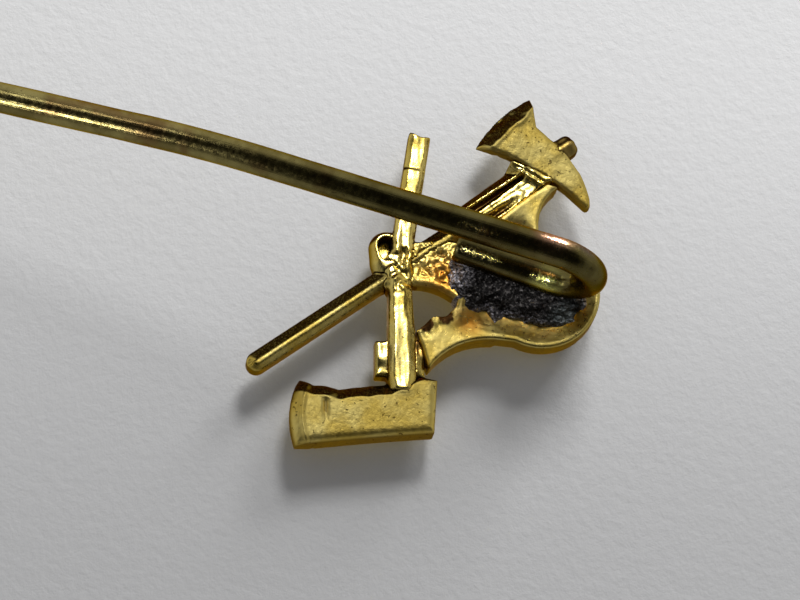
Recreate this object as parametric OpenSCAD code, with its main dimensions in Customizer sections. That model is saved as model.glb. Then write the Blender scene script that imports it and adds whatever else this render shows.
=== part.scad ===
// Stick pin: a cast emblem of a helmet over a crossed pick axe and hatchet, carried by one
// wire that is soldered into the hollow back of the helmet and turns down through a hairpin.
// Frame: +Z up as worn, the emblem faces -Y, the pin is on the +Y side. The origin is where
// the two handles cross, on the emblem's back plane, which lies against the cloth.
// Outlines are in the X-Z plane, and every piece of the casting runs from a back at y near 0
// towards the front at -Y.

/* [Emblem] */
// How far the emblem is turned on its pin, in degrees
emblem_turn = 2; // [0:0.5:5]
// Thickness of the helmet from back to front
helmet_t = 1.25; // [1.1:0.05:1.5]
// Thickness of the casting elsewhere
cast_t = 0.95; // [0.8:0.05:1.1]
// Wall and floor of the hollow parts
wall = 0.3; // [0.2:0.05:0.4]

/* [Helmet] */
// Half the width of the dome
dome_rx = 1.95; // [1.8:0.05:2.1]
// Height of the dome above its widest place
dome_rz = 1.95; // [1.8:0.05:2.1]
// How far the comb stands proud of the front
comb_h = 0.2; // [0.1:0.05:0.3]

/* [Pick axe] */
// Direction of the handle, in degrees above +X
pick_angle = 38; // [34:1:42]
// Width of the handle
pick_w = 0.68; // [0.6:0.02:0.8]
// Distance from the crossing to the handle's rounded end
pick_tail = 5.65; // [5:0.05:6.5]
// Thickness of the head
pick_head_t = 0.6; // [0.5:0.05:0.8]

/* [Hatchet] */
// Direction of the handle below the crossing, in degrees from +X
hatchet_angle = 163.5; // [160:0.5:167]
// Direction of the handle above the crossing, in degrees from +X
hatchet_top_angle = -7.5; // [-12:0.5:-4]
// Width of the lower handle
hatchet_w = 0.9; // [0.8:0.02:1]
// Width of the upper handle
hatchet_top_w = 0.72; // [0.6:0.02:0.8]
// Distance from the crossing to the fishtail end
hatchet_tail = 4.7; // [4:0.05:5.5]
// Thickness of the head
hatchet_head_t = 1.1; // [0.9:0.05:1.2]

/* [Pin] */
// Diameter of the wire
wire_d = 1.0; // [0.9:0.05:1.1]
// Radius of the hairpin, to the wire's centre
bend_r = 1.25; // [1.2:0.05:1.5]
// Height of the hairpin's centre above the crossing
bend_z = 4.7; // [4.5:0.05:5]
// Length of the straight leg that is soldered in
leg_l = 3.2; // [3:0.05:3.6]
// How far the stem closes on the emblem's plane as it goes down, in degrees
stem_lean = 5.5; // [4:0.5:7]
// Length of the straight stem behind the emblem
stem_top_l = 9.8; // [9:0.1:11]
// Length of the gentle bend
stem_curve_l = 4; // [3:0.5:6]
// Turn of the gentle bend, in degrees
stem_kink = 4.5; // [3:0.5:7]
// Length of the straight shank below it
shank_l = 33; // [28:0.5:40]
// Length of the sharpened point
point_l = 4.5; // [3:0.5:6]

/* [Hidden] */
$fn = 48;
gold = "#d8a83c";
tarnished_brass = "#7c6b35";
solder_grey = "#45464a";
eps = 0.01;

// Wire
wire_r = wire_d / 2;
tip_r = 0.06;
wire_x = 1.1;
leg_y = 0.35;
bend_y = leg_y + bend_r;
stem_start = [wire_x, bend_y + bend_r * cos(stem_lean), bend_z - bend_r * sin(stem_lean)];
curve_r = stem_curve_l / (stem_kink * PI / 180);

// Helmet
dome_c = [0.6, 4.6];
brim_line = [[-1.45, 3.6], [2.6, 4.1]];
hollow_t = helmet_t - wall;

// Points of a shallow curve from p to q, which bulges by b to the left of its chord
function bow(p, q, b, n = 6) =
    let (d = q - p, side = [-d.y, d.x] / norm(d))
    [for (i = [0:n]) let (u = i / n) p + d * u + side * b * 4 * u * (1 - u)];

// Points of an ellipse's arc about c
function arc(c, rx, rz, from, to, n = 24) =
    [for (i = [0:n]) let (a = from + (to - from) * i / n) c + [rx * cos(a), rz * sin(a)]];

// The emblem as it sits on its pin
module on_emblem() { rotate([0, emblem_turn, 0]) children(); }

// A direction in the emblem's plane: +X becomes the given angle above +X
module along(angle) { rotate([0, -angle, 0]) children(); }

// An outline in the X-Z plane, from y = back towards the front by t
module plate(t, back = 0) { translate([0, back, 0]) rotate([90, 0, 0]) linear_extrude(t) children(); }

// A bar along +X with bevelled back edges, from x0 to x1; its ridge is at y = back
module bevelled_bar(x0, x1, w, t, back, bevel) {
    half = w / 2;
    translate([x0, back, 0]) rotate([90, 0, 90]) linear_extrude(x1 - x0)
        polygon([[-t, -half], [-bevel, -half], [0, -half + bevel], [0, half - bevel],
                 [-bevel, half], [-t, half]]);
}

// Outline of the dome above the brim line; in is how far it is drawn in from the outside
module crown_outline(in = 0) {
    polygon(concat(
        arc(dome_c, dome_rx - in, dome_rz - in, 0, 180),
        [brim_line[0] + [in, 0], brim_line[1] - [in, 0]]));
}

// Outline of the flared brim: both tips, the lower edge and the line where the dome starts
module brim_outline(in = 0) {
    polygon(concat(
        [brim_line[0] + [in, 0]],
        bow([-1.5 + in, 2.95], [-3.05 + 2 * in, 1.86 - in], 0.22 - in / 2),
        bow([-1.95 + in / 2, 1.2 + in], [0.3, 2.15 + in], 0.12),
        bow([1.5, 2.1 + in], [3.85 - 3 * in, 3.56], -0.1),
        bow([3.75 - 3 * in, 3.75 - in], [2.75 - in, 3.85], 0.05, 3),
        [brim_line[1] - [in, 0]]));
}

// The room that the straight leg takes in the casting and the solder
module leg_bed() {
    translate([wire_x, leg_y, bend_z - leg_l - 0.05]) cylinder(r = wire_r, h = leg_l + 2);
}

module helmet_crown() color(gold) on_emblem() difference() {
    plate(helmet_t) crown_outline();
    plate(hollow_t, eps) crown_outline(wall);
    // the hollow runs on into the brim
    plate(hollow_t, eps) polygon([[-1.15, 3.4], [-1.15, 4], [2.3, 4.5], [2.3, 3.8]]);
}

module helmet_brim() color(gold) on_emblem() difference() {
    plate(helmet_t) brim_outline();
    plate(hollow_t, eps) brim_outline(wall);
    plate(hollow_t, eps) polygon([[-1.15, 3.3], [-1.15, 4], [2.3, 4.5], [2.3, 3.7]]);
    // the wire's cut end beds into the rim
    rotate([0, -emblem_turn, 0]) leg_bed();
}

// A raised ridge on the front, over the top of the dome
module helmet_comb() color(gold) on_emblem() plate(comb_h, -helmet_t)
    polygon(concat(
        arc(dome_c, 0.88 * dome_rx, 0.88 * dome_rz, 35, 145),
        arc(dome_c, 0.66 * dome_rx, 0.66 * dome_rz, 145, 35)));

// Outline of the pick axe's head: x runs along the handle, y across it towards the pick
module pick_head_outline() {
    polygon(concat(
        bow([4.55, -1.98], [7.05, -2.36], -0.25),
        bow([6.6, -1.4], [6.84, 0.2], -0.03, 3),
        bow([6.82, 0.7], [6.54, 1.62], -0.03, 2),
        bow([6.4, 1.82], [6.22, 1.76], -0.05, 3),
        bow([6.06, 0.95], [5.2, -1.1], 0.06),
        [[4.8, -1.65]]));
}

module pick_axe_head() color(gold) on_emblem() along(pick_angle) difference() {
    plate(pick_head_t, -0.02) pick_head_outline();
    // bevel of the cutting edge
    translate([0, -0.02, -2]) rotate([35, 0, 0]) translate([0, 0, -1]) cube([9, 1, 1]);
}

module pick_axe_knob() color(gold) on_emblem() along(pick_angle)
    translate([6.78, -0.36, -0.33]) rotate([0, 90, 0]) cylinder(r = 0.34, h = 0.6);

module pick_axe_collar() color(gold) on_emblem() along(pick_angle)
    plate(cast_t - 0.05, -0.05) polygon([[2.9, -0.55], [5.05, -0.76], [5.5, -0.05], [5.9, 0.46],
                                         [4.9, 0.5], [2.9, 0.48]]);

module pick_axe_handle() color(gold) on_emblem() along(pick_angle) {
    bevelled_bar(-pick_tail, 2.9, pick_w, 0.9, -0.1, 0.24);
    translate([-pick_tail, -0.1, 0]) rotate([90, 0, 0]) cylinder(d = pick_w, h = 0.9);
}

// Outline of the hatchet's head: x runs along the handle, y across it towards the cutting edge
module hatchet_head_outline() {
    polygon(concat(
        bow([6.1, 3.4], [4.12, 3.2], -0.22),
        bow([4.5, 2.7], [4.6, 1.95], -0.04, 2),
        bow([4.4, 0.9], [4.05, -1.15], 0.04, 3),
        bow([5.62, -0.98], [6.1, 3.4], 0.03, 4)));
}

module hatchet_head() color(gold) on_emblem() along(hatchet_angle)
    plate(hatchet_head_t, 0) hatchet_head_outline();

module hatchet_collar() color(gold) on_emblem() along(hatchet_angle)
    plate(0.75, -0.2) polygon([[2.48, -0.79], [3.65, -0.79], [3.65, 0.81], [2.5, 0.8]]);

module hatchet_handle() color(gold) on_emblem() {
    along(hatchet_angle) bevelled_bar(-0.2, 4.15, hatchet_w, cast_t, 0.05, 0.26);
    along(hatchet_top_angle) difference() {
        bevelled_bar(0, hatchet_tail, hatchet_top_w, 0.85, -0.05, 0.18);
        // the fishtail's dip
        translate([hatchet_tail + 0.3, 0.5, 0.05]) rotate([90, 0, 0]) cylinder(r = 0.42, h = 2);
    }
}

module binding_band() color(gold) on_emblem() plate(0.75, -0.15)
    polygon([[-0.35, 0.2], [0.95, 0.2], [1.35, 1.4], [1.45, 2.2], [-0.45, 2.2], [-0.25, 1.4]]);

module binding_loop() color(gold) on_emblem() translate([0.54, -0.1, -0.6]) rotate([90, 0, 0])
    difference() {
        cylinder(r = 0.57, h = 0.8);
        translate([0, 0, -eps]) cylinder(r = 0.33, h = 0.5);
    }

// Lump of solder: it fills the hollow beside the leg and laps over the band
module solder_joint() color(solder_grey) difference() {
    on_emblem() plate(hollow_t + 0.1, 0.1)
        polygon([[0.5, 1.45], [-0.45, 2.5], [-0.95, 2.75], [-0.62, 3.1], [-0.85, 3.55], [-0.35, 4.1],
                 [-0.5, 5], [-0.3, 5.7], [0.5, 6], [1.5, 5.6], [1.9, 4.6], [1.75, 3], [1.3, 2.5]]);
    leg_bed();
}

module pin_leg() color(tarnished_brass)
    translate([wire_x, leg_y, bend_z - leg_l]) cylinder(r = wire_r, h = leg_l);

module hairpin_bend() color(tarnished_brass)
    translate([wire_x, bend_y, bend_z]) rotate([90, 0, -90])
        rotate_extrude(angle = 180 + stem_lean) translate([bend_r, 0]) circle(r = wire_r);

// The stem's own frame: it starts at the end of the hairpin and runs along -Z
module on_stem() { translate(stem_start) rotate([-stem_lean, 0, 0]) children(); }

// The shank's own frame, below the gentle bend
module on_shank() {
    on_stem() translate([-curve_r * (1 - cos(stem_kink)), 0, -stem_top_l - curve_r * sin(stem_kink)])
        rotate([0, stem_kink, 0]) children();
}

module stem_top() color(tarnished_brass) on_stem()
    translate([0, 0, -stem_top_l]) cylinder(r = wire_r, h = stem_top_l);

module stem_curve() color(tarnished_brass) on_stem()
    translate([-curve_r, 0, -stem_top_l]) rotate([-90, 0, 0])
        rotate_extrude(angle = stem_kink, $fn = 720) translate([curve_r, 0]) circle(r = wire_r, $fn = 48);

module shank() color(tarnished_brass) on_shank()
    translate([0, 0, -shank_l]) cylinder(r = wire_r, h = shank_l);

module pin_point() color(tarnished_brass) on_shank()
    translate([0, 0, -shank_l - point_l]) cylinder(r1 = tip_r, r2 = wire_r, h = point_l);

helmet_crown();
helmet_brim();
helmet_comb();
pick_axe_head();
pick_axe_knob();
pick_axe_collar();
pick_axe_handle();
hatchet_head();
hatchet_collar();
hatchet_handle();
binding_band();
binding_loop();
solder_joint();
pin_leg();
hairpin_bend();
stem_top();
stem_curve();
shank();
pin_point();
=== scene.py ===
"""Stick pin: a cast, gold-plated emblem seen from its back, on a soldered brass wire.

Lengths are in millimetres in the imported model's frame: X and Z lie in the emblem's plane,
the cloth and the wire are on the +Y side, and the handles cross at the origin.
The casting is built as distance fields on one grid, blended into each other with small
fillets as cast metal is, and then cut up again into its named pieces.
"""
import math

import bpy
import numpy as np
from mathutils import Matrix


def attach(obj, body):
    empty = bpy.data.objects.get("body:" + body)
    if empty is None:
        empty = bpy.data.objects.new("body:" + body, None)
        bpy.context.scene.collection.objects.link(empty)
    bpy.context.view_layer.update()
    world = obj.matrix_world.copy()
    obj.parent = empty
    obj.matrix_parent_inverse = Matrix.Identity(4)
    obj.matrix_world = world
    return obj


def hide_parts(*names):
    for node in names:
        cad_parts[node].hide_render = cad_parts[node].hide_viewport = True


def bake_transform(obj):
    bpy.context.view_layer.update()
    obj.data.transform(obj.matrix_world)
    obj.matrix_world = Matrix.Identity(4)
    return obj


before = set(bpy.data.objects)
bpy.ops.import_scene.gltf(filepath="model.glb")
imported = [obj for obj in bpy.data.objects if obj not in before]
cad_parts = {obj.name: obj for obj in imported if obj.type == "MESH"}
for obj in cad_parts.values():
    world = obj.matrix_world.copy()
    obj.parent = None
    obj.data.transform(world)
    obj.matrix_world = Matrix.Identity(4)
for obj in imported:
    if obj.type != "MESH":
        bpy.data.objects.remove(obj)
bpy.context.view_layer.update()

MM = 0.001

# Casting: cell of its grid, reach of its fillets, and the grid's corners in x, z and y
VOXEL = 0.042
FILLET = 0.05
GRID_LOW = (-7.1, -4.25, -1.6)
GRID_HIGH = (7.1, 6.8, 0.22)
# The box that holds the solder, in the same order, and its finer cell
SOLDER_VOXEL = 0.035
SOLDER_LOW = (-1.7, 1.1, -1.1)
SOLDER_HIGH = (2.3, 6.4, 0.45)

# Emblem: turn on its pin, directions of the handles, thickness of the helmet and its dome
EMBLEM_TURN = math.radians(2)
PICK_ANGLE = math.radians(38)
HATCHET_ANGLE = math.radians(163.5)
HATCHET_TOP_ANGLE = math.radians(-7.5)
HELMET_T = 1.25
DOME_C = (0.6, 4.6)
DOME_R = 1.95

# Faces turned towards this side are painted near-black, as painted shade and grime together
DARKENED_SIDE = (0.82, 0.0, -0.57)
# Tint of a metal seen at a low angle: worn metal stays warm and dark there
EDGE_TINT = (0.62, 0.42, 0.16, 1)

# Wire: its radius, where the leg stands, and the leg's lower end
WIRE_R = 0.5
WIRE_X = 1.1
LEG_Y = 0.35
LEG_LOW = 1.5
BEND_R = 1.25
BEND_Z = 4.7
STEM_LEAN = math.radians(5.5)
STEM_TOP_L = 9.8
CURVE_L = 4.0
KINK = math.radians(4.5)
SHANK_L = 33.0
POINT_L = 4.5
TIP_R = 0.06
# How far the hairpin's mesh reaches past the bend
SHARED_L = 1.0
# Rings of the wire's mesh: sides, spacing near the emblem, how far that goes, spacing beyond
SIDES = 48
FINE_STEP = 0.08
FINE_L = 15
COARSE_STEP = 0.4

# Height of the paper's plane at the origin, and its rise to each millimetre of z
PAPER_Y = -1.56
PAPER_PER_Z = 0.0142

# ---------------------------------------------------------------- camera, floor and lights

# Directions of the picture: towards the camera, and its right and up
BACK = np.array([-0.3420, 0.9397, 0.0])
TILT = math.radians(19)
ACROSS = np.cross(-BACK, [0, 0, 1])
RIGHT = math.cos(TILT) * np.array([0, 0, 1]) - math.sin(TILT) * ACROSS
UP = -math.sin(TILT) * np.array([0, 0, 1]) - math.cos(TILT) * ACROSS
CAMERA_FAR = 150
CAMERA_DROP = 1.13
CAMERA_LENS = 209.25
# Where the main lamp and the wide panel stand, as directions from the emblem
KEY_FROM = (0.50, 0.84, -0.24)
PANEL_FROM = (0.30, 0.94, -0.05)
# Square lamps: name, direction, distance, side, watts, groups that they light, and groups that
# cast their shadow, where an empty list means everything
LAMPS = (
    ("paper_key", (1.00, 1.00, -0.12), 220, 60, 0.31, ["paper"], ["casting", "hairpin"]),
    ("paper_side", (1.03, 0.45, 0.25), 220, 80, 0.34, ["paper"], ["casting", "wire"]),
    ("key", KEY_FROM, 220, 70, 0.36, ["narrow"], ["casting"]),
    ("panel", PANEL_FROM, 200, 130, 0.05, ["narrow", "axe_handle"], []),
    ("broad_key", KEY_FROM, 220, 70, 0.035, ["broad"], []),
    ("broad_panel", PANEL_FROM, 200, 130, 0.034, ["broad"], []),
    ("bowl_panel", (0.82, 0.48, -0.32), 200, 150, 0.08, ["helmet_shell"], []),
    ("front", (0.10, -1.0, 0.08), 220, 160, 0.03, ["casting", "wire"], []),
)
# Pieces with broad faces towards the main lamp, which a dimmer pair of lamps lights
BROAD = ("axe_head", "axe_handle", "hatchet_blade", "helmet_shell")
# Slope of the wire in the picture
WIRE_SLOPE = math.radians(13)
# Small lights close to a spot on the wire: name, spot, angle below the view, width, length,
# watts and spread
GLINT_FAR = 15
GLINTS = (
    ("low_glint", (0.66, 1.0, -15.8), 29, 1.6, 6, 0.0006, 180),
    ("high_glint", (0.55, 1.05, -14.3), -41, 1.6, 8, 0.00014, 180),
    ("bend_glint", (1.3, 2.8, 5.5), -92, 1.0, 0.8, 0.00003, 10),
    ("leg_glint", (1.0, 0.8, 5.0), 18, 0.7, 0.6, 0.0000016, 6),
    ("cut_end_glint", (1.1, 0.8, 2.0), 3, 0.7, 0.8, 0.0000012, 6),
)


def place(obj, spot, x_axis, y_axis):
    """Stands an object at a point, with its own X and Y axes along two directions."""
    z_axis = np.cross(x_axis, y_axis)
    rows = [(x_axis[i], y_axis[i], z_axis[i], spot[i] * MM) for i in range(3)]
    obj.matrix_world = Matrix([*rows, (0, 0, 0, 1)])


def make_camera():
    data = bpy.data.cameras.new("camera")
    data.lens = CAMERA_LENS
    data.sensor_width = 36
    data.clip_start = 0.005
    data.clip_end = 5
    camera = bpy.data.objects.new("camera", data)
    bpy.context.scene.collection.objects.link(camera)
    place(camera, BACK * CAMERA_FAR - UP * CAMERA_DROP, RIGHT, UP)
    bpy.context.scene.camera = camera


def make_light(name, direction, far, width, height, watts, target=(0, 0, 2), spread=180):
    """An area light that looks at the target from the given direction; spread is in degrees."""
    direction = np.array(direction, float)
    direction /= np.linalg.norm(direction)
    side = np.cross(direction, [0, 0, 1])
    side /= np.linalg.norm(side)
    data = bpy.data.lights.new(name, "AREA")
    data.shape = "RECTANGLE"
    data.size = width * MM
    data.size_y = height * MM
    data.energy = watts
    data.spread = math.radians(spread)
    light = bpy.data.objects.new(name, data)
    light.visible_camera = False
    bpy.context.scene.collection.objects.link(light)
    spot = np.array(target) + direction * far
    place(light, spot, side, np.cross(direction, side))
    return light


def light_groups():
    """The meshes that a lamp can be kept for, by the name of their group."""
    meshes = [o for o in bpy.data.objects if o.type == "MESH"]
    groups = {name: [o for o in meshes if o.name == name]
              for name in ("paper", "hairpin", "axe_handle", "helmet_shell")}
    groups["wire"] = [o for o in meshes if o.name in ("hairpin", "stem")]
    groups["casting"] = [o for o in meshes if o not in groups["wire"] + groups["paper"]]
    groups["broad"] = [o for o in meshes if o.name in BROAD]
    groups["narrow"] = [o for o in groups["casting"] if o.name not in BROAD]
    return groups


def gather(name, groups, wanted):
    """A collection of everything in the wanted groups."""
    gathered = bpy.data.collections.new(name)
    for group in wanted:
        for thing in groups[group]:
            gathered.objects.link(thing)
    return gathered


def make_lights():
    """Soft lamps for the paper, the casting and the emblem's face, and small glints on the wire."""
    groups = light_groups()
    for name, direction, far, side, watts, lit, shading in LAMPS:
        lamp = make_light(name, direction, far, side, side, watts)
        lamp.light_linking.receiver_collection = gather(name + "_lights", groups, lit)
        if shading:
            lamp.light_linking.blocker_collection = gather(name + "_blockers", groups, shading)
    down = -math.sin(WIRE_SLOPE) * RIGHT - math.cos(WIRE_SLOPE) * UP
    for name, spot, angle, width, length, watts, spread in GLINTS:
        angle = math.radians(angle)
        direction = math.cos(angle) * BACK + math.sin(angle) * down
        glint = make_light(name, direction, GLINT_FAR, width, length, watts, spot, spread)
        glint.light_linking.receiver_collection = gather(name + "_lights", groups, ["wire"])


# ---------------------------------------------------------------- node helpers

def new_tree(name):
    material = bpy.data.materials.new(name)
    material.use_nodes = True
    tree = material.node_tree
    tree.nodes.clear()
    return material, tree


def node(tree, kind, settings=None, **inputs):
    """A new node; inputs are set by name or linked, and _ in a name stands for a space."""
    made = tree.nodes.new(kind)
    for key, value in (settings or {}).items():
        setattr(made, key, value)
    for key, value in inputs.items():
        socket = made.inputs[int(key[1:])] if key[1:].isdigit() else made.inputs[key.replace("_", " ")]
        if isinstance(value, bpy.types.NodeSocket):
            tree.links.new(value, socket)
        else:
            socket.default_value = value
    return made


def maths(tree, operation, a, b=0.0, clamp=False):
    settings = {"operation": operation, "use_clamp": clamp}
    return node(tree, "ShaderNodeMath", settings, i0=a, i1=b).outputs[0]


def dot(tree, a, b):
    return node(tree, "ShaderNodeVectorMath", {"operation": "DOT_PRODUCT"}, i0=a, i1=b).outputs["Value"]


def ramp(tree, value, low, high, to_low=0.0, to_high=1.0):
    """Smoothly maps low..high to to_low..to_high."""
    settings = {"interpolation_type": "SMOOTHSTEP"}
    made = node(tree, "ShaderNodeMapRange", settings, Value=value)
    for key, number in (("From Min", low), ("From Max", high), ("To Min", to_low), ("To Max", to_high)):
        made.inputs[key].default_value = number
    return made.outputs[0]


def mix(tree, share, a, b):
    made = tree.nodes.new("ShaderNodeMix")
    made.data_type = "RGBA"
    for socket, value in ((made.inputs[0], share), (made.inputs[6], a), (made.inputs[7], b)):
        if isinstance(value, bpy.types.NodeSocket):
            tree.links.new(value, socket)
        else:
            socket.default_value = value
    return made.outputs[2]


def noise(tree, where, scale, detail=2.0, roughness=0.5):
    """Noise from 0 to 1 with scale features to the millimetre."""
    made = node(tree, "ShaderNodeTexNoise", None, Vector=where)
    made.inputs["Scale"].default_value = scale
    made.inputs["Detail"].default_value = detail
    made.inputs["Roughness"].default_value = roughness
    return made.outputs[0]


def millimetres(tree):
    """The piece's own coordinates in millimetres."""
    here = node(tree, "ShaderNodeTexCoord").outputs["Object"]
    scaled = node(tree, "ShaderNodeVectorMath", {"operation": "SCALE"}, i0=here)
    scaled.inputs["Scale"].default_value = 1 / MM
    return scaled.outputs[0]


def attribute(tree, name):
    return node(tree, "ShaderNodeAttribute", {"attribute_name": name}).outputs["Fac"]


def nearness(tree, where, spot, reach):
    """1 at a point, falling smoothly to 0 at reach."""
    apart = node(tree, "ShaderNodeVectorMath", {"operation": "DISTANCE"}, i0=where, i1=spot)
    return ramp(tree, apart.outputs["Value"], 0, reach, 1, 0)


def bump(tree, height, depth, normal=None):
    """Turns a 0 to 1 height into a normal; depth is in millimetres."""
    made = node(tree, "ShaderNodeBump", None, Height=height)
    made.inputs["Distance"].default_value = depth * MM
    if normal is not None:
        tree.links.new(normal, made.inputs["Normal"])
    return made.outputs[0]


def metal(tree, colour, roughness, normal):
    shader = node(tree, "ShaderNodeBsdfPrincipled", None, Base_Color=colour, Roughness=roughness,
                  Normal=normal)
    shader.inputs["Metallic"].default_value = 1
    shader.inputs["Specular Tint"].default_value = EDGE_TINT
    output = node(tree, "ShaderNodeOutputMaterial")
    tree.links.new(shader.outputs[0], output.inputs[0])
    return shader


# ---------------------------------------------------------------- materials

def gold_material(name, smoothest, roughest, graininess, darkening, dull=0.0):
    """Worn gold plate: grainy, orange where the solder's heat was, brown in its recesses as tarnish and
    painted shade, painted brown on steep walls as painted shade, and near-black on one side as painted
    shade and grime.

    The first two numbers are its range of roughness; the last two run from 0 to 1 and say how much
    painted shade, tarnish and grime its recesses, hollow walls and one side hold, and how much brown
    all of it holds.
    """
    material, tree = new_tree(name)
    where = millimetres(tree)
    cavity = attribute(tree, "cavity")
    broad = noise(tree, where, 0.9, 3)
    grain = noise(tree, where, 7, 3, 0.6)
    speck = noise(tree, where, 24, 2, 0.6)
    pits = ramp(tree, noise(tree, where, 5.5, 2, 0.7),
                0.76 - 0.07 * graininess, 0.78 - 0.05 * graininess)
    colour = mix(tree, ramp(tree, broad, 0.35, 0.65), (0.80, 0.58, 0.12, 1), (0.92, 0.74, 0.24, 1))
    heat = maths(tree, "MAXIMUM", nearness(tree, where, (0.2, -0.2, 1.45), 1.1),
                 nearness(tree, where, (-1.0, -0.2, 2.7), 0.8))
    heat = maths(tree, "MULTIPLY", heat, ramp(tree, grain, 0.2, 0.5))
    colour = mix(tree, heat, colour, (0.86, 0.38, 0.05, 1))
    # two spots along the tear in the brim are painted dark brown
    dark_spots = maths(tree, "MAXIMUM", nearness(tree, where, (-1.6, -0.1, 1.4), 0.55),
                  nearness(tree, where, (-1.15, -0.1, 1.95), 0.5))
    dark_spots = ramp(tree, maths(tree, "MULTIPLY", dark_spots, maths(tree, "ADD", grain, 0.5)), 0.35, 0.6)
    facing = node(tree, "ShaderNodeTexCoord").outputs["Normal"]
    tilt = node(tree, "ShaderNodeSeparateXYZ", None, i0=facing).outputs[1]
    # painted shade: steep walls are painted brown, less so in hollows on lightly darkened gold
    wall = ramp(tree, maths(tree, "ABSOLUTE", tilt), 0.1, 0.6, 1, 0)
    wall = maths(tree, "MULTIPLY", wall, ramp(tree, cavity, 0.58, 0.70, 0.8, 0.05 + 0.7 * darkening))
    # painted shade and grime: faces turned towards one side are painted near-black, flecked by speck
    side_shade_and_grime = ramp(tree, dot(tree, facing, DARKENED_SIDE), 0.30, 0.55)
    side_shade_and_grime = maths(tree, "MULTIPLY", side_shade_and_grime, ramp(tree, speck, 0.25, 0.5, 0.7 * darkening, darkening))
    # tarnish and painted shade: recesses are painted brown; with the walls this is all the brown the
    # gold gets
    hollow = ramp(tree, cavity, 0.55, 0.68, dull, dull + (1 - dull) * darkening)
    shade_and_tarnish = maths(tree, "ADD", wall, hollow)
    shade_and_tarnish = maths(tree, "MULTIPLY", shade_and_tarnish, ramp(tree, broad, 0.2, 0.6, 0.75, 1.0), True)
    colour = mix(tree, shade_and_tarnish, colour, (0.17, 0.088, 0.02, 1))
    colour = mix(tree, side_shade_and_grime, colour, (0.022, 0.012, 0.005, 1))
    colour = mix(tree, dark_spots, colour, (0.07, 0.032, 0.010, 1))
    colour = mix(tree, maths(tree, "MULTIPLY", pits, 0.7), colour, (0.10, 0.045, 0.01, 1))
    rough = ramp(tree, grain, 0.3, 0.7, smoothest, roughest)
    rough = maths(tree, "ADD", rough, maths(tree, "MULTIPLY", shade_and_tarnish, 0.1))
    normal = bump(tree, broad, 0.05)
    normal = bump(tree, grain, 0.010 * graininess, normal)
    normal = bump(tree, speck, 0.004 * graininess, normal)
    normal = bump(tree, maths(tree, "SUBTRACT", 1.0, pits), 0.01, normal)
    metal(tree, colour, rough, normal)
    return material


def solder_material():
    """Black, sparkling, granular solder with paler grey at its rim."""
    material, tree = new_tree("solder")
    where = millimetres(tree)
    grains = node(tree, "ShaderNodeTexVoronoi", None, Vector=where)
    grains.inputs["Scale"].default_value = 9
    grain = noise(tree, where, 11, 4, 0.7)
    edge = attribute(tree, "edge")
    lilac = nearness(tree, where, (0.25, 0.0, 1.75), 0.8)
    smooth = nearness(tree, where, (0.05, 0.0, 5.75), 0.9)
    colour = mix(tree, ramp(tree, grain, 0.48, 0.70), (0.018, 0.017, 0.017, 1), (0.16, 0.15, 0.145, 1))
    pale = maths(tree, "MAXIMUM", ramp(tree, edge, 0.35, 1.0), lilac)
    pale = maths(tree, "MULTIPLY", pale, ramp(tree, grain, 0.36, 0.6))
    colour = mix(tree, pale, colour, (0.46, 0.44, 0.49, 1))
    colour = mix(tree, smooth, colour, (0.13, 0.15, 0.15, 1))
    rough = ramp(tree, grain, 0.35, 0.7, 0.5, 0.28)
    normal = bump(tree, grains.outputs[0], 0.045)
    normal = bump(tree, grain, 0.05, normal)
    metal(tree, colour, rough, normal)
    return material


def brass_material():
    """Tarnished drawn brass wire, painted darker towards the emblem as painted shade, with painted
    highlights near the bend; along and around come from the wire's own UV map.
    """
    material, tree = new_tree("pin_brass")
    where = millimetres(tree)
    around = node(tree, "ShaderNodeUVMap", {"uv_map": "along_wire"}).outputs[0]
    lines = node(tree, "ShaderNodeVectorMath", {"operation": "MULTIPLY"}, i0=around, i1=(60, 0.5, 1))
    drawn = noise(tree, lines.outputs[0], 1, 2)
    mottle = noise(tree, where, 1.1, 4, 0.6)
    fine = noise(tree, where, 7, 3, 0.6)
    colour = mix(tree, ramp(tree, mottle, 0.35, 0.65), (0.30, 0.24, 0.085, 1), (0.50, 0.42, 0.16, 1))
    brown = maths(tree, "MULTIPLY", ramp(tree, noise(tree, where, 0.75, 3), 0.5, 0.68), 0.6)
    colour = mix(tree, brown, colour, (0.24, 0.12, 0.05, 1))
    # painted shade: the wire is painted darker towards the emblem, from z = -9 up
    height = node(tree, "ShaderNodeSeparateXYZ", None, i0=where).outputs[2]
    colour = mix(tree, ramp(tree, height, -9, 0, 0.0, 0.62), colour, (0.05, 0.042, 0.012, 1))
    # painted highlights: a pinkish one on the stem near the bend, in copper pink, and a yellow one on
    # the leg near the bend
    bend_highlight = nearness(tree, where, (WIRE_X + 0.45, 2.9, 4.4), 1.0)
    violet = nearness(tree, where, (WIRE_X + 0.5, 2.6, 5.3), 0.8)
    leg_highlight = nearness(tree, where, (WIRE_X - 0.35, 0.6, 4.6), 0.75)
    colour = mix(tree, bend_highlight, colour, (0.82, 0.42, 0.30, 1))
    colour = mix(tree, violet, colour, (0.26, 0.20, 0.36, 1))
    colour = mix(tree, leg_highlight, colour, (0.75, 0.72, 0.20, 1))
    pits = ramp(tree, noise(tree, where, 6, 2, 0.7), 0.66, 0.74)
    colour = mix(tree, maths(tree, "MULTIPLY", pits, 0.6), colour, (0.05, 0.035, 0.015, 1))
    rough = ramp(tree, fine, 0.3, 0.7, 0.17, 0.30)
    normal = bump(tree, drawn, 0.006)
    normal = bump(tree, fine, 0.006, normal)
    metal(tree, colour, rough, normal)
    return material


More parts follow.
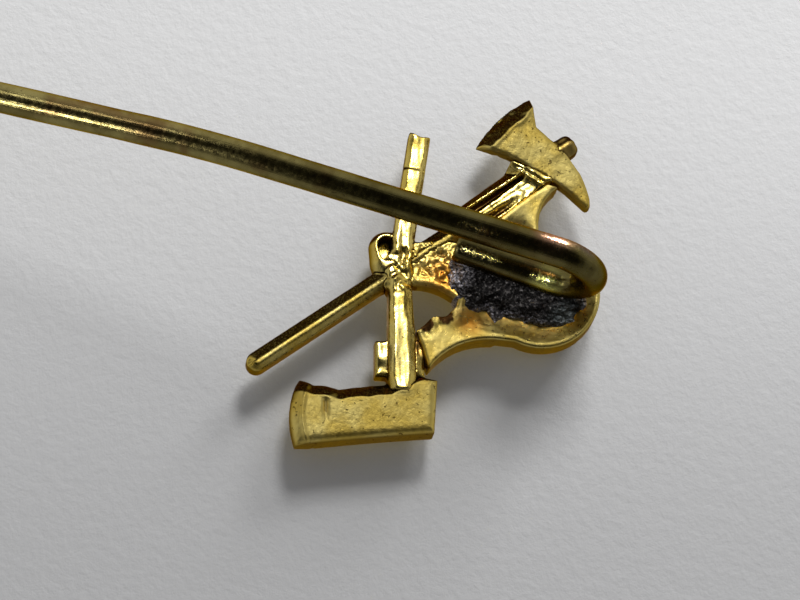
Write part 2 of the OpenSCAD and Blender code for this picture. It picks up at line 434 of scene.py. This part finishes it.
def paper_material():
    """Pale paper, painted darker towards the bottom of the camera's view as painted shade; solid from
    the pin's side and clear from behind.
    """
    material, tree = new_tree("paper")
    where = millimetres(tree)
    # painted shade: the paper is painted darker towards the bottom of the camera's view
    shade = ramp(tree, dot(tree, where, tuple(UP)), -11, 8)
    fibre = noise(tree, where, 3.2, 4, 0.65)
    colour = mix(tree, shade, (0.40, 0.40, 0.402, 1), (0.60, 0.60, 0.60, 1))
    paper = node(tree, "ShaderNodeBsdfPrincipled", None, Base_Color=colour,
                 Normal=bump(tree, fibre, 0.03))
    paper.inputs["Roughness"].default_value = 0.75
    clear = node(tree, "ShaderNodeBsdfTransparent")
    seen = node(tree, "ShaderNodeLightPath").outputs["Is Camera Ray"]
    behind = node(tree, "ShaderNodeNewGeometry").outputs["Backfacing"]
    solid = maths(tree, "MULTIPLY", seen, maths(tree, "SUBTRACT", 1.0, behind))
    both = node(tree, "ShaderNodeMixShader", None, i0=solid, i1=clear.outputs[0], i2=paper.outputs[0])
    output = node(tree, "ShaderNodeOutputMaterial")
    tree.links.new(both.outputs[0], output.inputs[0])
    return material


def make_world():
    """Pale studio; reflections find it dark where the photographer stands."""
    world = bpy.data.worlds.new("studio")
    world.use_nodes = True
    bpy.context.scene.world = world
    tree = world.node_tree
    tree.nodes.clear()
    direction = node(tree, "ShaderNodeTexCoord").outputs["Generated"]
    backward = dot(tree, direction, tuple(BACK))
    dark = ramp(tree, backward, math.cos(math.radians(78)), math.cos(math.radians(36)))
    lit = ramp(tree, dot(tree, direction, tuple(UP)), -0.5, 0.7)
    room = mix(tree, lit, (0.27, 0.27, 0.26, 1), (0.50, 0.50, 0.48, 1))
    room = mix(tree, dark, room, (0.012, 0.012, 0.011, 1))
    path = node(tree, "ShaderNodeLightPath")
    fill = mix(tree, path.outputs["Is Diffuse Ray"], room, (0.36, 0.36, 0.365, 1))
    seen = mix(tree, path.outputs["Is Camera Ray"], fill, (0.70, 0.70, 0.70, 1))
    background = node(tree, "ShaderNodeBackground", None, Color=seen)
    output = node(tree, "ShaderNodeOutputWorld")
    tree.links.new(background.outputs[0], output.inputs[0])


# ---------------------------------------------------------------- outlines and distance fields

def bow(p, q, b, n=8):
    """Points of a shallow curve from p to q, which bulges by b to the left of its chord."""
    p = np.array(p, float)
    d = np.array(q, float) - p
    side = np.array([-d[1], d[0]]) / np.hypot(*d)
    return [p + d * u + side * b * 4 * u * (1 - u) for u in np.linspace(0, 1, n + 1)]


def arc(c, r, start, end, n=28):
    angles = np.radians(np.linspace(start, end, n + 1))
    return [np.array([c[0] + r * math.cos(a), c[1] + r * math.sin(a)]) for a in angles]


def line_distance(points, a, b, closed=False):
    """Distance in a plane from (a, b) to a line of points."""
    points = [np.array(p, float) for p in points]
    best = None
    for p, q in zip(points, points[1:] + (points[:1] if closed else [])):
        d = q - p
        u = np.clip(((a - p[0]) * d[0] + (b - p[1]) * d[1]) / max(d @ d, 1e-12), 0, 1)
        gap = np.hypot(a - p[0] - u * d[0], b - p[1] - u * d[1])
        best = gap if best is None else np.minimum(best, gap)
    return best


def outline_distance(points, a, b):
    """Signed distance in a plane to a closed outline, negative inside."""
    points = [np.array(p, float) for p in points]
    inside = np.zeros(np.broadcast(a, b).shape, bool)
    for p, q in zip(points, points[1:] + points[:1]):
        crosses = (p[1] > b) != (q[1] > b)
        at = p[0] + (b - p[1]) * (q[0] - p[0]) / (q[1] - p[1] if q[1] != p[1] else 1e-9)
        inside ^= crosses & (a < at)
    return line_distance(points, a, b, True) * np.where(inside, -1, 1)


def soft_max(a, b, k):
    """The larger of two distances, with the corner rounded over about k."""
    return np.maximum(a, b) + np.maximum(k - np.abs(a - b), 0) ** 2 / (4 * k)


def soft_min(a, b, k):
    return -soft_max(-a, -b, k)


def slab(edge, y, back, front, r=0.08):
    """A plate with rounded edges: edge is its outline's distance, back and front its y limits."""
    return soft_max(edge, np.maximum(y - back, front - y), 2 * r)


def lumps(x, y, z, size, seed):
    """Smooth value noise from -1 to 1, with features about size across."""
    table = np.random.default_rng(seed).uniform(-1, 1, 4096).astype(np.float32)
    total = 0
    cells = []
    for v in (x, y, z):
        v = v / size
        low = np.floor(v)
        part = v - low
        cells.append((low.astype(np.int64), part * part * (3 - 2 * part)))
    for corner in range(8):
        key, weight = 0, 1
        for axis, prime in enumerate((73856093, 19349663, 83492791)):
            bit = corner >> axis & 1
            low, part = cells[axis]
            key = key ^ ((low + bit) * prime)
            weight = weight * (part if bit else 1 - part)
        total = total + table[key & 4095] * weight
    return total


def turned(angle, x, z):
    """Coordinates along and across a direction in the emblem's plane."""
    return x * math.cos(angle) + z * math.sin(angle), z * math.cos(angle) - x * math.sin(angle)


# ---------------------------------------------------------------- the casting's pieces

def helmet_outline(x, z):
    """Distance to the outline of the dome and the flared brim together."""
    outline = [*arc(DOME_C, DOME_R, -10, 190), *bow((-1.45, 3.6), (-3.05, 1.86), 0.3),
               (-1.95, 1.15), (-1.32, 1.5), (-1.15, 1.92), (-0.75, 2.12), (0.3, 2.15),
               *bow((1.5, 2.1), (4.1, 3.75), -0.1), (4.4, 3.98), (4.3, 4.25),
               *bow((4.0, 4.06), (2.55, 4.0), 0.16, 5)]
    return outline_distance(outline, x, z)


def helmet_shell(x, y, z):
    """Dome and flared brim in one shell, hollowed from the back like a bowl, domed in front."""
    edge = helmet_outline(x, z)
    inwards = np.clip(-edge / 1.6, 0, 1)
    above = (z - 3.6) - (x + 1.45) * 0.1235
    dome = np.clip(above / 0.08, 0, 1)
    bead = 0.12 * np.exp(-((edge + 0.14) / 0.1) ** 2)
    front = -HELMET_T + dome * 0.42 * (1 - inwards) ** 2 + (1 - dome) * (0.22 - bead)
    spoke = np.abs(np.degrees(np.arctan2(x - DOME_C[0], z - DOME_C[1] + 2.4)))
    front = front + dome * 0.07 * np.exp(-((spoke - 14) / 1.0) ** 2)
    body = slab(edge, y, 0.0, front, 0.07)
    u = np.clip((-edge - 0.12) / 1.25, 0, 1)
    apart = np.hypot(x - DOME_C[0], z - DOME_C[1])
    deep = 0.24 + 0.22 * np.clip((3.2 - apart) / 1.4, 0, 1)
    floor = deep * (1 - (1 - u) ** 2.1)
    floor = floor + 0.025 * lumps(x, y * 0, z, 0.5, 5) * u
    left_tip = np.clip((np.hypot(x + 2.4, z - 1.5) - 0.5) / 1.7, 0.12, 1)
    right_tip = np.clip((np.hypot(x - 4.2, z - 4.0) - 1.1) / 0.9, 0.0, 1)
    floor = floor * left_tip * right_tip
    torn = np.exp(-(line_distance([(-1.9, 1.3), (-1.25, 1.7), (-1.0, 2.1)], x, z) / 0.28) ** 2)
    floor = floor * (1 - torn) + torn * (0.06 + 0.09 * lumps(x, y * 0, z, 0.2, 7))
    rim = 0.02 * np.exp(-((edge + 0.09) / 0.07) ** 2)
    return soft_max(body, (y - rim + floor) * 0.85, 0.1)


def helmet_comb(x, y, z):
    """Raised ridge over the front of the dome, with a groove along its middle."""
    apart = np.hypot(x - DOME_C[0], z - DOME_C[1])
    ridge = 0.77 * DOME_R
    angle = np.degrees(np.arctan2(z - DOME_C[1], x - DOME_C[0]))
    ends = (np.abs(angle - 90) - 54) * math.radians(1) * ridge
    edge = np.maximum(np.abs(apart - ridge) - 0.2, ends)
    groove = 0.05 * np.clip(1 - np.abs(apart - ridge) / 0.07, 0, 1)
    return slab(edge, y, -HELMET_T + 0.35, -HELMET_T - 0.19 + groove, 0.05)


def pick_underside(s, t):
    """Distance to the head's lower edge, where the collar joins it."""
    return line_distance(bow((6.06, 0.95), (5.2, -1.1), 0.06), s, t)


def pick_axe_head(x, y, z):
    """Pick and blade in one flat plate, which falls away to the cutting edge in a wide bevel."""
    s, t = turned(PICK_ANGLE, x, z)
    outline = [*bow((4.55, -1.98), (7.12, -2.38), -0.25, 12), *bow((6.6, -1.4), (6.84, 0.2), -0.03),
               *bow((6.82, 0.7), (6.54, 1.62), -0.03), *bow((6.4, 1.82), (6.22, 1.76), -0.05),
               *bow((6.06, 0.95), (5.2, -1.1), 0.06), (4.8, -1.65)]
    edge = outline_distance(outline, s, t)
    beyond = -1.64 - 0.17 * (s - 4.83) - t + 0.05 * lumps(x, y * 0, z, 0.25, 13)
    bevel = 0.95 * np.clip(beyond, 0, 0.52)
    crest = 0.03 * np.exp(-((beyond + 0.05) / 0.06) ** 2)
    dish = 0.015 * lumps(x, y * 0, z, 0.6, 11) + 0.012 * lumps(x, y * 0, z, 0.2, 12)
    front = -0.62 + 0.08 * np.exp(-((beyond + 0.25) / 0.06) ** 2)
    return slab(edge, y, -0.02 - bevel + crest + dish, front, 0.09)


def pick_axe_knob(x, y, z):
    """End of the handle, which stands out of the eye."""
    s, t = turned(PICK_ANGLE, x, z)
    apart = np.hypot(t + 0.31, y + 0.42)
    facets = 0.02 * np.cos(6 * np.arctan2(t + 0.31, y + 0.42))
    return soft_max(apart - 0.39 - facets, np.abs(s - 6.92) - 0.44, 0.3)


def pick_axe_collar(x, y, z):
    """Wider stretch of handle under the head: a sloped wall, a ridge and two grooves along it."""
    s, t = turned(PICK_ANGLE, x, z)
    outline = [(2.9, -0.62), (4.8, -0.72), (5.2, -0.9), (5.7, -0.1), (5.95, 0.4), (5.5, 0.34),
               (4.9, 0.40), (2.9, 0.48)]
    edge = outline_distance(outline, s, t)
    taper = np.clip((4.9 - s) / 2.0, 0, 1)
    to_head = pick_underside(s, t)
    away = np.clip((to_head - 0.25) / 0.3, 0, 1)
    back = -0.16 - 1.1 * np.clip(-0.42 - t, 0, 0.36) * np.clip((to_head - 0.2) / 0.2, 0, 1)
    back = back + 0.05 * np.exp(-((t + 0.40) / 0.05) ** 2)
    back = back - 0.28 * away * np.exp(-((t + 0.26 - 0.03 * taper) / (0.05 + 0.05 * taper)) ** 2)
    back = back - 0.03 * away * np.exp(-((t - 0.02) / 0.03) ** 2)
    back = back - 0.32 * np.clip(1.4 * taper - 0.15, 0, 1) * np.exp(-((t - 0.27) / 0.10) ** 2)
    back = back + 0.14 * np.clip(1.3 - to_head / 0.4, 0, 1)
    back = back + 0.05 * np.exp(-((to_head - 0.30) / 0.05) ** 2)
    back = back - 0.05 * np.exp(-((to_head - 0.19) / 0.04) ** 2)
    rough = 0.02 * lumps(x, y * 0, z, 0.3, 17) + 0.015 * lumps(x, y * 0, z, 0.12, 18)
    return slab(edge, y, back + rough, -0.92, 0.05)


def bar(along, across, y, start, end, half, back, front, bevel, far_bevel):
    """A bar with a bevel along each side of its back and a round end at the start."""
    reach = np.hypot(np.minimum(along - start, 0), across)
    side = np.where(along < start, reach, np.abs(across)) - half
    shape = soft_max(side, np.maximum(y - back, front - y), 0.08)
    shape = soft_max(shape, (side + 0.16 + (front - y)) * 0.7071, 0.06)
    near_facet = ((side + bevel) * 0.75 + (y - back)) * 0.8
    facet = np.where(across < 0, near_facet, (side + far_bevel + (y - back)) * 0.7071)
    return soft_max(soft_max(shape, facet, 0.04), along - end, 0.1)


def pick_axe_handle(x, y, z):
    """Long handle; its back is a roof with a flat along the ridge."""
    s, t = turned(PICK_ANGLE, x, z)
    wobble = 0.02 * lumps(s * 0.35, y, t, 0.4, 23)
    return bar(s, t, y, -5.65, 3.0, 0.34, -0.1 + wobble, -1.0, 0.36, 0.20)


def hatchet_head(x, y, z):
    """Long blade and square poll; the blade's edge has a narrow bevel behind a raised line."""
    s, t = turned(HATCHET_ANGLE, x, z)
    blade = bow((6.1, 3.4), (3.72, 3.22), -0.24)
    upper = [*bow((3.95, 2.75), (4.06, 1.95), -0.04), *bow((3.92, 0.9), (3.72, -0.7), 0.03),
             (3.8, -1.2)]
    edge = outline_distance([*blade, *upper, *bow((5.6, -1.08), (6.1, 3.4), 0.03)], s, t)
    to_top = line_distance([(3.7, 3.25), *upper], s, t) + 0.04 * lumps(x, y * 0, z, 0.3, 33)
    strip = 0.52 - 0.45 * np.clip((0.3 - t) / 1.2, 0, 1)
    slope = 0.85 * np.clip(strip - to_top, 0, 1)
    to_blade = line_distance(blade, s, t)
    bevel = 0.55 * np.clip(0.34 - to_blade, 0, 1)
    flat = np.clip((to_top - strip) / 0.12, 0, 1)
    rim = 0.05 * flat * np.exp(-((to_blade - 0.38) / 0.05) ** 2)
    dent = 0.10 * flat * np.exp(-((t - 2.42) / 0.08) ** 2) * np.clip(1.6 - 2.0 * (s - 4.6), 0, 1)
    dish = 0.012 * lumps(x, y * 0, z, 0.8, 31)
    front = -1.08 + 0.2 * np.clip(1 - to_blade / 0.55, 0, 1)
    front = front + 0.08 * np.exp(-((to_blade - 0.62) / 0.06) ** 2)
    return slab(edge, y, -bevel - slope + rim - dent + dish, front, 0.15)


def hatchet_collar(x, y, z):
    """Wider stretch of handle above the head: a flange on each side."""
    s, t = turned(HATCHET_ANGLE, x, z)
    outline = [(2.48, -0.79), (3.75, -0.79), (3.7, -0.4), (4.0, -0.3), (4.0, 0.3), (3.7, 0.4),
               (3.7, 0.81), (2.5, 0.8)]
    edge = outline_distance(outline, s, t)
    back = -0.2 + 0.05 * lumps(x, y * 0, z, 0.35, 37)
    return slab(edge, y, back, -0.95, 0.09)


def hatchet_handle(x, y, z):
    """Both stretches of the handle: the lower one lies on top, the upper one has a fishtail."""
    s, t = turned(HATCHET_ANGLE, x, z)
    spread = np.clip((s - 0.2) / 2.0, 0, 1)
    half = 0.35 + 0.08 * spread - 0.06 * np.clip((s - 3.6) / 0.5, 0, 1) ** 2
    lines = 0.022 * lumps(s * 0.12, y * 0, t, 0.09, 41) + 0.02 * lumps(s, y * 0, t, 0.5, 42)
    ease = 0.12 * np.clip(1 - (s - 0.3) / 0.5, 0, 1) ** 2
    lower = bar(s, t + 0.05 * spread, y, 0.45, 4.2, half, 0.07 + lines - ease, -0.95, 0.22, 0.16)
    a, b = turned(HATCHET_TOP_ANGLE, x, z)
    step = 0.06 * np.clip((a - 3.35) / 0.08, 0, 1)
    half = 0.36 + 0.08 * np.clip(1 - a, 0, 1)
    upper = bar(a, b, y, -0.5, 4.7, half, -0.05 - step + lines, -0.9, 0.15, 0.15)
    fishtail = 0.42 - np.hypot(a - 5.0, b - 0.05)
    crossing = np.exp(-(np.hypot(x + 0.1, z) / 0.75) ** 2)
    torn = crossing * (0.10 * lumps(x, y * 0, z, 0.24, 43) + 0.05 * lumps(x, y * 0, z, 0.11, 44))
    return soft_min(lower, soft_max(upper, fishtail, 0.08), 0.08) + torn


def binding_band(x, y, z):
    """Rough band from the crossing into the helmet, with a smooth rib along its lower edge."""
    outline = [(-0.2, 0.2), (0.95, 0.2), (1.35, 1.4), (1.45, 2.2), (-0.3, 2.2), (-0.1, 1.4)]
    edge = outline_distance(outline, x, z)
    rough = 0.06 * lumps(x, y * 0, z, 0.10, 51) + 0.05 * lumps(x, y * 0, z, 0.3, 52)
    rough_part = slab(edge, y, -0.12 + rough, -0.9, 0.08)
    rib = line_distance(bow((-0.36, 0.4), (-0.42, 2.2), -0.2), x, z)
    rib = slab(rib - 0.17, y, -0.08, -0.9, 0.12)
    return soft_min(rough_part, rib, 0.08)


def binding_loop(x, y, z):
    """Small hollow lobe that bulges out below the crossing."""
    near, far = np.array([0.58, -0.58]), np.array([0.10, -0.40])
    apart = line_distance([near, far], x, z)
    body = slab(apart - 0.57, y, -0.06 - 0.25 * np.clip(apart / 0.57, 0, 1) ** 3, -0.9, 0.16)
    pocket = soft_max(line_distance([near, near + (-0.2, 0.12)], x, z) - 0.3, -0.75 - y, 0.06)
    return soft_max(body, -pocket, 0.12)


# Each piece of the casting: its shape, the corners of the box that it lies in, in x, z and y, and
# the nodes that it stands for
CASTING = {
    "helmet_shell": (helmet_shell, (-3.3, 1.0, -1.4), (4.2, 6.8, 0.2),
                     ("helmet_crown", "helmet_brim")),
    "comb": (helmet_comb, (-1.5, 4.9, -1.6), (2.7, 6.6, -0.7), ("helmet_comb",)),
    "axe_head": (pick_axe_head, (2.8, 0.6, -0.9), (7.1, 5.7, 0.2), ("pick_axe_head",)),
    "axe_knob": (pick_axe_knob, (4.9, 3.2, -0.9), (6.5, 4.8, 0.2), ("pick_axe_knob",)),
    "axe_collar": (pick_axe_collar, (1.6, 1.1, -1.2), (5.2, 4.0, 0.2), ("pick_axe_collar",)),
    "axe_handle": (pick_axe_handle, (-5.2, -4.2, -1.2), (3.0, 2.6, 0.2), ("pick_axe_handle",)),
    "hatchet_blade": (hatchet_head, (-7.1, -2.6, -1.3), (-3.1, 3.2, 0.2), ("hatchet_head",)),
    "hatchet_flange": (hatchet_collar, (-4.1, -0.3, -1.2), (-1.8, 2.1, 0.2), ("hatchet_collar",)),
    "hatchet_grip": (hatchet_handle, (-4.5, -1.4, -1.2), (5.3, 2.0, 0.2), ("hatchet_handle",)),
    "band": (binding_band, (-0.9, -0.2, -1.2), (1.9, 2.6, 0.2), ("binding_band",)),
    "loop": (binding_loop, (-0.4, -1.5, -1.2), (1.5, 0.4, 0.2), ("binding_loop",)),
}
# Finish of the pieces that aren't polished
FINISH = {"axe_head": "grainy", "hatchet_blade": "grainy", "band": "grainy", "helmet_shell": "lightly_darkened",
          "comb": "lightly_darkened", "axe_knob": "dark", "axe_handle": "dull"}


# ---------------------------------------------------------------- meshing

def surface_net(field, low, voxel):
    """Vertices and quads of the zero surface of a field on a grid in x, z, y order."""
    solid = field < 0
    shape = np.array(field.shape) - 1
    corners = [(i, j, k) for i in (0, 1) for j in (0, 1) for k in (0, 1)]

    def shifted(a, c):
        return a[c[0]:c[0] + shape[0], c[1]:c[1] + shape[1], c[2]:c[2] + shape[2]]

    count = sum(shifted(solid, c).astype(np.int8) for c in corners)
    cells = np.argwhere((count > 0) & (count < 8))
    value = {c: field[tuple((cells + c).T)] for c in corners}
    total = np.zeros((len(cells), 3))
    hits = np.zeros(len(cells))
    for c in corners:
        for axis in range(3):
            if c[axis]:
                continue
            far = tuple(v + (n == axis) for n, v in enumerate(c))
            a, b = value[c], value[far]
            cut = (a < 0) != (b < 0)
            share = np.where(cut, a / np.where(cut, a - b, 1), 0)
            spot = np.array(c, float) + share[:, None] * np.eye(3)[axis]
            total += spot * cut[:, None]
            hits += cut
    points = (cells + total / hits[:, None]) * voxel + low
    number = np.full(shape, -1, np.int64)
    number[tuple(cells.T)] = np.arange(len(cells))
    quads = []
    for axis in range(3):
        u, v = [n for n in range(3) if n != axis]
        step = np.eye(3, dtype=int)
        ends = np.array(field.shape) - step[axis]
        near = solid[:ends[0], :ends[1], :ends[2]]
        next_one = solid[step[axis][0]:, step[axis][1]:, step[axis][2]:]
        at = np.argwhere(near != next_one)
        at = at[(at[:, u] > 0) & (at[:, v] > 0) & (at[:, u] < shape[u]) & (at[:, v] < shape[v])]
        ring = [at - step[u] - step[v], at - step[v], at, at - step[u]]
        quad = np.stack([number[tuple(r.T)] for r in ring], axis=1)
        flip = near[tuple(at.T)] == (axis == 1)
        quad[flip] = quad[flip][:, ::-1]
        quads.append(quad)
    quads = np.concatenate(quads)
    # the grid runs x, z, y, so swapping to x, y, z turns every face over
    return points[:, [0, 2, 1]], quads[:, ::-1]


def make_mesh(name, points, faces, material, attributes=None):
    mesh = bpy.data.meshes.new(name)
    faces = np.asarray(faces)
    mesh.vertices.add(len(points))
    mesh.vertices.foreach_set("co", (np.asarray(points) * MM).astype(np.float32).ravel())
    mesh.loops.add(faces.size)
    mesh.loops.foreach_set("vertex_index", faces.astype(np.int32).ravel())
    mesh.polygons.add(len(faces))
    mesh.polygons.foreach_set("loop_start", np.arange(0, faces.size, faces.shape[1], dtype=np.int32))
    mesh.update(calc_edges=True)
    mesh.validate()
    mesh.polygons.foreach_set("use_smooth", [True] * len(mesh.polygons))
    for key, values in (attributes or {}).items():
        layer = mesh.attributes.new(key, "FLOAT", "POINT")
        layer.data.foreach_set("value", np.asarray(values, np.float32))
    mesh.materials.append(material)
    obj = bpy.data.objects.new(name, mesh)
    bpy.context.scene.collection.objects.link(obj)
    return obj


def turn_emblem(points):
    """The emblem sits on its pin turned by a couple of degrees."""
    c, s = math.cos(EMBLEM_TURN), math.sin(EMBLEM_TURN)
    x, y, z = points.T
    return np.stack([x * c + z * s, y, z * c - x * s], axis=1)


def box_blur(field, reach):
    """Mean of a field over a cube of 2 * reach + 1 cells."""
    for axis in range(3):
        padded = np.pad(field, [(reach + 1, reach) if n == axis else (0, 0) for n in range(3)], "edge")
        total = np.cumsum(padded, axis=axis, dtype=np.float64)
        far = np.take(total, range(2 * reach + 1, total.shape[axis]), axis)
        near = np.take(total, range(total.shape[axis] - 2 * reach - 1), axis)
        field = ((far - near) / (2 * reach + 1)).astype(np.float32)
    return field


def cast_emblem(materials):
    """Builds all the casting's pieces, which share their fillets and meet without gaps."""
    low = np.array(GRID_LOW)
    axes = [np.arange(low[n], GRID_HIGH[n], VOXEL, dtype=np.float32) for n in range(3)]
    size = tuple(len(a) for a in axes)
    nearest = np.full(size, 9, np.float32)
    second = np.full(size, 9, np.float32)
    blended = np.zeros(size, np.float32)
    parts = {}
    for name, (shape, box_low, box_high, nodes) in CASTING.items():
        window = tuple(slice(*np.searchsorted(axes[n], (box_low[n], box_high[n]))) for n in range(3))
        x = axes[0][window[0]][:, None, None]
        z = axes[1][window[1]][None, :, None]
        y = axes[2][window[2]][None, None, :]
        field = np.asarray(shape(x, y, z), np.float32)
        parts[name] = (window, field)
        best, next_best = nearest[window], second[window]
        second[window] = np.minimum(next_best, np.maximum(best, field))
        nearest[window] = np.minimum(best, field)
        blended[window] += np.exp(-np.clip(field, -1.5, 3) / FILLET)
    whole = -FILLET * np.log(np.maximum(blended, 1e-30))
    filled = box_blur((whole < 0).astype(np.float32), 5)
    for name, (window, field) in parts.items():
        others = np.where(field <= nearest[window] + 1e-6, second[window], nearest[window])
        own = np.maximum(whole[window], (field - others) / 2)
        own = np.pad(own, 1, constant_values=1.0)
        start = np.array([axes[n][window[n].start] for n in range(3)]) - VOXEL
        points, quads = surface_net(own, start, VOXEL)
        cell = np.round((points[:, [0, 2, 1]] - low) / VOXEL).astype(int)
        cell = np.clip(cell, 0, np.array(size) - 1)
        cavity = filled[tuple(cell.T)]
        material = materials[FINISH.get(name, "polished")]
        obj = make_mesh(name, turn_emblem(points), quads, material, {"cavity": cavity})
        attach(obj, "emblem")
        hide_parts(*CASTING[name][3])


# ---------------------------------------------------------------- solder

def solder_lump(material):
    """A granular lump that fills the hollow beside the leg and creeps up the wire."""
    border = [(0.9, 1.5), (0.5, 1.42), (-0.14, 1.62), (-0.62, 2.08), (-1.3, 2.02), (-0.98, 2.5),
              (-0.5, 3.1), (-0.95, 3.5), (-0.5, 3.68), (-0.52, 4.4), (-0.45, 5.4), (-0.05, 6.0),
              (0.7, 6.2), (1.5, 5.8), (1.9, 4.6), (1.75, 3.0), (1.3, 2.3)]
    x, z, y = [np.arange(SOLDER_LOW[n], SOLDER_HIGH[n], SOLDER_VOXEL, dtype=np.float32)
               for n in range(3)]
    x, z, y = x[:, None, None], z[None, :, None], y[None, None, :]
    wander = 0.07 * lumps(x, y * 0, z, 0.22, 61)
    edge = outline_distance(border, x, z) + wander
    inside = np.clip(-edge / 0.55, 0, 1)
    beside = np.abs(x - WIRE_X)
    top = -0.42 + 0.42 * inside ** 0.6 + 0.12 * np.exp(-(np.maximum(beside - 0.45, 0) / 0.2) ** 2)
    top = top + 0.16 * np.exp(-((z - 2.1) / 0.5) ** 2)
    rough = 0.05 * lumps(x, y * 0, z, 0.12, 62) + 0.05 * lumps(x, y * 0, z, 0.3, 63)
    field = slab(edge, y, top + rough, -0.85, 0.05)
    points, quads = surface_net(np.pad(field, 1, constant_values=1.0),
                                np.array(SOLDER_LOW) - SOLDER_VOXEL, SOLDER_VOXEL)
    near_edge = 1 - np.clip(-outline_distance(border, points[:, 0], points[:, 2]) / 0.35, 0, 1)
    obj = make_mesh("solder_lump", turn_emblem(points), quads, material, {"edge": near_edge})
    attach(obj, "emblem")
    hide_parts("solder_joint")


# ---------------------------------------------------------------- wire

def wire_path():
    """Points, directions and radii from the soldered end to the point, with the length so far."""
    along = []
    for z in np.arange(LEG_LOW, BEND_Z, FINE_STEP):
        along.append(((WIRE_X, LEG_Y, z), (0, 0, 1)))
    centre = (LEG_Y + BEND_R, BEND_Z)
    sweep = math.pi + STEM_LEAN
    for a in np.linspace(0, sweep, int(sweep * BEND_R / FINE_STEP)):
        spot = (WIRE_X, centre[0] - BEND_R * math.cos(a), centre[1] + BEND_R * math.sin(a))
        along.append((spot, (0, math.sin(a), math.cos(a))))
    points = [np.array(p) for p, _ in along]
    heads = [np.array(d, float) for _, d in along]
    spot, done = points[-1].copy(), 0.0
    total = STEM_TOP_L + CURVE_L + SHANK_L + POINT_L
    while done < total - 1e-6:
        size = min(FINE_STEP if done < FINE_L else COARSE_STEP, total - done)
        kink = KINK * np.clip((done + size / 2 - STEM_TOP_L) / CURVE_L, 0, 1)
        flat = np.array([-math.sin(kink), 0, -math.cos(kink)])
        head = np.array([flat[0], flat[2] * math.sin(STEM_LEAN), flat[2] * math.cos(STEM_LEAN)])
        spot = spot + head * size
        done += size
        points.append(spot.copy())
        heads.append(head)
    points, heads = np.array(points), np.array(heads)
    length = np.concatenate([[0], np.cumsum(np.linalg.norm(np.diff(points, axis=0), axis=1))])
    return points, heads, length


def tube(name, points, heads, length, radii, material, cap_start, cap_end):
    """A round tube with a UV map along_wire: u runs round it, v is the length in millimetres."""
    side = np.array([1.0, 0, 0])
    rings, turns = [], np.linspace(0, 2 * math.pi, SIDES, endpoint=False)
    for p, d, r, v in zip(points, heads, radii, length):
        side = side - d * (side @ d)
        side /= np.linalg.norm(side)
        other = np.cross(d, side)
        rings.append(p + r * (np.cos(turns)[:, None] * side + np.sin(turns)[:, None] * other))
    count = len(rings)
    verts = np.concatenate(rings)
    i = np.arange(count - 1)[:, None] * SIDES
    j = np.arange(SIDES)[None, :]
    k = (j + 1) % SIDES
    quads = np.stack([i + j, i + k, i + SIDES + k, i + SIDES + j], axis=-1).reshape(-1, 4)
    mesh = bpy.data.meshes.new(name)
    faces = [tuple(int(n) for n in q) for q in quads]
    if cap_start:
        faces.append(tuple(range(SIDES - 1, -1, -1)))
    if cap_end:
        faces.append(tuple(range((count - 1) * SIDES, count * SIDES)))
    mesh.from_pydata([tuple(v * MM) for v in verts], [], faces)
    layer = mesh.uv_layers.new(name="along_wire")
    for face in mesh.polygons:
        face.use_smooth = len(face.vertices) == 4
        wraps = any(n % SIDES == SIDES - 1 for n in face.vertices)
        for loop in face.loop_indices:
            n = mesh.loops[loop].vertex_index
            u = (n % SIDES) / SIDES
            if wraps and u == 0:
                u = 1.0
            layer.data[loop].uv = (u, length[n // SIDES])
    mesh.materials.append(material)
    obj = bpy.data.objects.new(name, mesh)
    bpy.context.scene.collection.objects.link(obj)
    return obj


def make_wire(material):
    points, heads, length = wire_path()
    bend_end = BEND_Z - LEG_LOW + (math.pi + STEM_LEAN) * BEND_R
    wobble = 0.008 * lumps(length, length * 0, length * 0, 1.3, 71)
    radii = WIRE_R - 0.008 + wobble
    taper = np.clip((length[-1] - length) / POINT_L, 0, 1)
    radii = np.where(taper < 1, TIP_R + (radii - TIP_R) * taper ** 0.9, radii)
    chamfer = np.clip(length / 0.16, 0, 1)
    radii = radii * (0.86 + 0.14 * np.sqrt(chamfer))
    split = int(np.searchsorted(length, bend_end + SHARED_L))
    upper = slice(0, split + 1)
    lower = slice(split, len(points))
    hairpin = tube("hairpin", points[upper], heads[upper], length[upper], radii[upper], material,
                   True, False)
    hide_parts("pin_leg", "hairpin_bend")
    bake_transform(hairpin)
    stem = tube("stem", points[lower], heads[lower], length[lower], radii[lower], material,
                False, True)
    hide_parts("stem_top", "stem_curve", "shank", "pin_point")
    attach(stem, "pin_stem")


# ---------------------------------------------------------------- the scene

def make_paper():
    """The sheet that the pin lies face down on: the comb and the point come down to it."""
    cells = 24
    side = cells + 1
    points = []
    for z in np.linspace(-75, 45, side):
        for x in np.linspace(-60, 60, side):
            points.append((x * MM, (PAPER_Y + PAPER_PER_Z * z) * MM, z * MM))
    faces = []
    for i in range(cells):
        for j in range(cells):
            n = i * side + j
            faces.append((n, n + side, n + side + 1, n + 1))
    mesh = bpy.data.meshes.new("paper")
    mesh.from_pydata(points, [], faces)
    mesh.materials.append(paper_material())
    paper = bpy.data.objects.new("paper", mesh)
    bpy.context.scene.collection.objects.link(paper)


make_camera()
bpy.context.scene.view_settings.view_transform = "Standard"
make_world()
make_paper()
cast_emblem({
    "grainy": gold_material("gold_grainy", 0.36, 0.5, 1.8, 1.0),
    "polished": gold_material("gold_polished", 0.16, 0.30, 0.7, 1.0),
    # little painted shade, tarnish and grime in recesses, hollow walls and on one side
    "lightly_darkened": gold_material("gold_lightly_darkened", 0.26, 0.42, 1.1, 0.05),
    "dull": gold_material("gold_dull", 0.20, 0.34, 1.0, 1.0, 0.12),
    "dark": gold_material("gold_dark", 0.28, 0.40, 1.0, 1.0, 0.75),
})
solder_lump(solder_material())
make_wire(brass_material())
make_lights()
